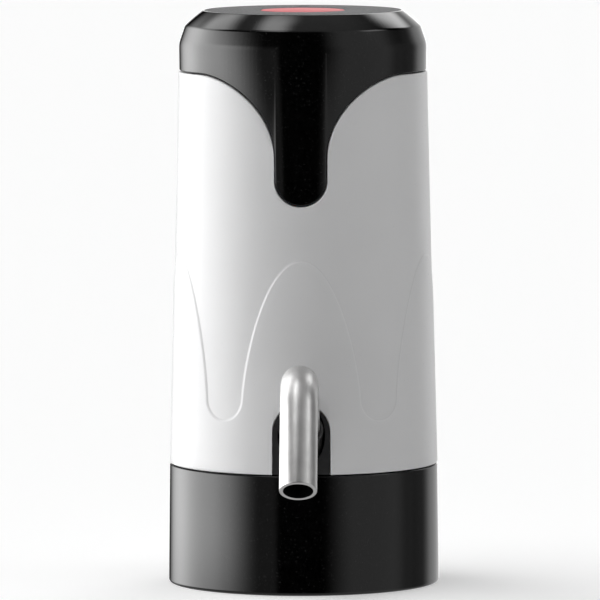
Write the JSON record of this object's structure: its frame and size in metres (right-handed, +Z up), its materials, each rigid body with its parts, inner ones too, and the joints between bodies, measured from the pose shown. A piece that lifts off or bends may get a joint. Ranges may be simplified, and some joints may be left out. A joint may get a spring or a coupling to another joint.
{
  "type": "bottled water pump",
  "caption": "Cylindrical battery pump for a water bottle's neck, with a bent steel spout at the front and a push button on top.",
  "frame": {"origin": "on the body's vertical axis, at the flat ceiling inside the base collar that the bottle's neck meets", "axes": "+Z up along the body's axis, -Y out of the front, where the spout is, +X to the right as seen from the front"},
  "size_m": [0.066, 0.109, 0.1395],
  "materials": {
    "shell_white": "satin white moulding",
    "gloss_black": "polished black moulding",
    "panel_grey": "fine grain, matte grey",
    "button_red": "satin red",
    "smoked_lens": "smoked, clear gloss",
    "led_resin": "pale resin",
    "board_green": "green solder mask",
    "black_plastic": "matte black moulding",
    "pump_plastic": "natural white moulding",
    "gear_plastic": "natural acetal",
    "copper": "copper windings and laminations",
    "can_aluminium": "drawn can",
    "screw_steel": "plated steel",
    "spout_steel": "satin stainless tube",
    "battery_wrap": "shrink wrap over a lithium cell",
    "wire_red": "insulated wire",
    "clear_silicone": "translucent silicone",
    "grip_silicone": "pale silicone with soft ribs",
    "black_silicone": "black silicone"
  },
  "bodies": {
    "housing": {"outer_shell": "shell_white", "top_cap": "gloss_black", "top_panel": "panel_grey", "indicator_lens": "smoked_lens", "status_led": "led_resin", "control_board": "board_green", "switch_body": "black_plastic", "charge_chip": "black_plastic", "boost_coil": "copper", "board_capacitor": "can_aluminium", "board_screw_1": "screw_steel", "board_screw_2": "screw_steel", "usb_port": "screw_steel", "battery_cell": "battery_wrap", "battery_lead_1": "wire_red", "battery_lead_2": "wire_red", "motor_can": "screw_steel", "motor_end_cap": "pump_plastic", "motor_lead_1": "wire_red", "motor_lead_2": "wire_red", "idler_pin": "screw_steel", "pump_body": "pump_plastic", "pump_gasket": "clear_silicone", "pump_cover": "pump_plastic", "pump_screw_1": "screw_steel", "pump_screw_2": "screw_steel", "pump_screw_3": "screw_steel", "pump_screw_4": "screw_steel", "chassis": "gloss_black", "inlet_hose": "clear_silicone", "outlet_seal": "black_silicone", "base_collar": "gloss_black", "base_screw_1": "screw_steel", "base_screw_2": "screw_steel", "base_screw_3": "screw_steel", "base_screw_4": "screw_steel", "neck_grip": "grip_silicone"},
    "button": {"power_button": "button_red"},
    "plunger": {"switch_plunger": "pump_plastic"},
    "rotor": {"motor_rotor": "copper", "drive_gear": "gear_plastic"},
    "idler": {"idler_gear": "gear_plastic"},
    "bush": {"spout_bush": "black_silicone"},
    "spout_tube": {"spout": "spout_steel"}
  },
  "joints": [
    {"name": "button_press", "type": "slide", "parent": "housing", "child": "button", "axis": [0, 0, -1], "range_m": [0, 0.0005], "stiffness_N_per_m": 2000},
    {"name": "plunger_press", "type": "slide", "parent": "housing", "child": "plunger", "axis": [0, 0, -1], "range_m": [0, 0.0005]},
    {"name": "motor_spin", "type": "hinge", "parent": "housing", "child": "rotor", "pos_m": [-0.005, -0.0095, 0.035], "axis": [0, 0, 1], "continuous": true},
    {"name": "idler_spin", "type": "hinge", "parent": "housing", "child": "idler", "pos_m": [0.005, -0.0095, 0.022], "axis": [0, 0, 1], "continuous": true},
    {"name": "spout_swivel", "type": "hinge", "parent": "housing", "child": "bush", "pos_m": [0, -0.03209, 0.0142], "axis": [0, -0.682, 0.7314], "range_deg": [-90, 90]},
    {"name": "spout_pull", "type": "slide", "parent": "bush", "child": "spout_tube", "axis": [0, -0.682, 0.7314], "range_m": [0, 0.008]}
  ],
  "couplings": [
    {"joint": "plunger_press", "follows": "button_press", "ratio": 1},
    {"joint": "idler_spin", "follows": "motor_spin", "ratio": -1}
  ]
}
